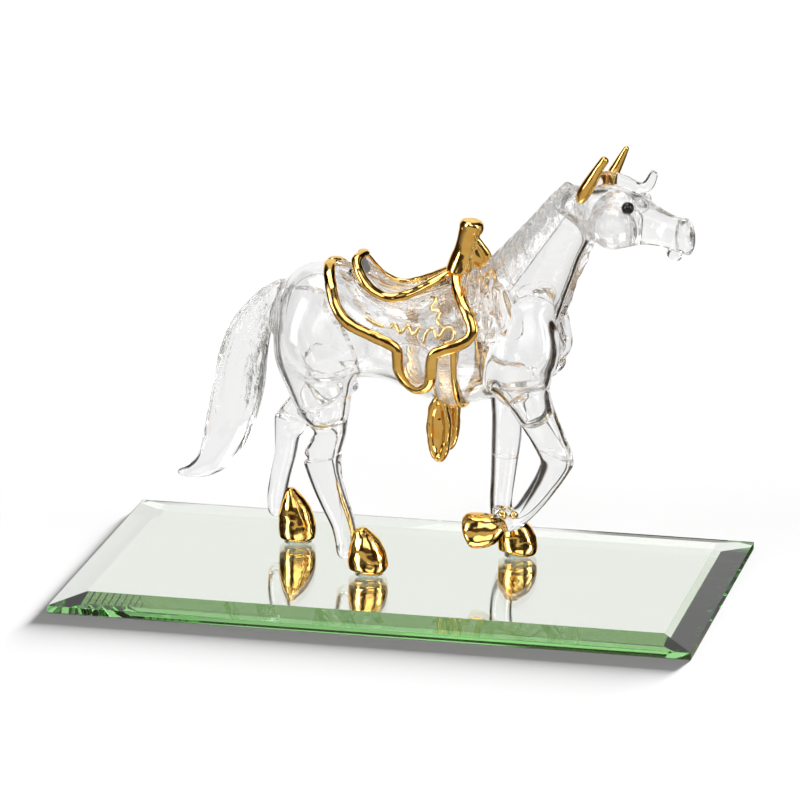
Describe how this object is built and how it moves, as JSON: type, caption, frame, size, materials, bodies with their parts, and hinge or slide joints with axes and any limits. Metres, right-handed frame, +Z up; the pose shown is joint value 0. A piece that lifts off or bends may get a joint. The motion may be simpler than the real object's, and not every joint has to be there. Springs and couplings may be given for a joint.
{
  "type": "horse figurine",
  "caption": "Lampworked clear glass horse with gilded hooves, ears and western saddle, walking on a bevelled mirror base",
  "frame": {"origin": "centre of the mirror base's underside", "axes": "+X towards the horse's head along the base's length, +Y to the horse's left across the base, +Z up"},
  "size_m": [0.2286, 0.127, 0.1609],
  "materials": {
    "clear_glass": "clear fire-polished solid glass",
    "plate_glass": "green-tinted float glass with a ground and polished bevel",
    "silvering": "silver film under the plate glass, with grey backing paint below it",
    "bright_gold": "fired bright gold on glass, mirror polish",
    "black_glass": "opaque black glass bead",
    "clear_adhesive": "cured clear acrylic adhesive"
  },
  "bodies": {
    "root": {"mirror_plate": "plate_glass", "mirror_backing": "silvering", "adhesive_hind_right": "clear_adhesive", "adhesive_hind_left": "clear_adhesive", "adhesive_fore_left": "clear_adhesive", "torso": "clear_glass", "haunch_right": "clear_glass", "haunch_left": "clear_glass", "shoulder_right": "clear_glass", "shoulder_left": "clear_glass", "neck": "clear_glass", "head": "clear_glass", "cheek_right": "clear_glass", "cheek_left": "clear_glass", "muzzle_pad": "clear_glass", "lower_lip": "clear_glass", "brow_right": "clear_glass", "brow_left": "clear_glass", "eye_right": "black_glass", "eye_left": "black_glass", "ear_right": "bright_gold", "ear_left": "bright_gold", "forelock": "clear_glass", "mane_crest": "clear_glass", "mane_locks": "clear_glass", "tail": "clear_glass", "gaskin_right": "clear_glass", "gaskin_left": "clear_glass", "hind_cannon_right": "clear_glass", "hind_cannon_left": "clear_glass", "hind_hoof_right": "bright_gold", "hind_hoof_left": "bright_gold", "forearm_right": "clear_glass", "forearm_left": "clear_glass", "fore_cannon_right": "clear_glass", "fore_cannon_left": "clear_glass", "fore_hoof_right": "bright_gold", "fore_hoof_left": "bright_gold", "skirt_right": "clear_glass", "skirt_left": "clear_glass", "fender_right": "clear_glass", "fender_left": "clear_glass", "seat": "clear_glass", "seat_rim": "bright_gold", "horn": "bright_gold", "trim_right": "bright_gold", "trim_left": "bright_gold", "girth": "clear_glass", "girth_trim": "bright_gold", "stirrup_right": "bright_gold", "stirrup_left": "bright_gold", "scrollwork_right": "bright_gold", "scrollwork_left": "bright_gold"}
  },
  "joints": []
}
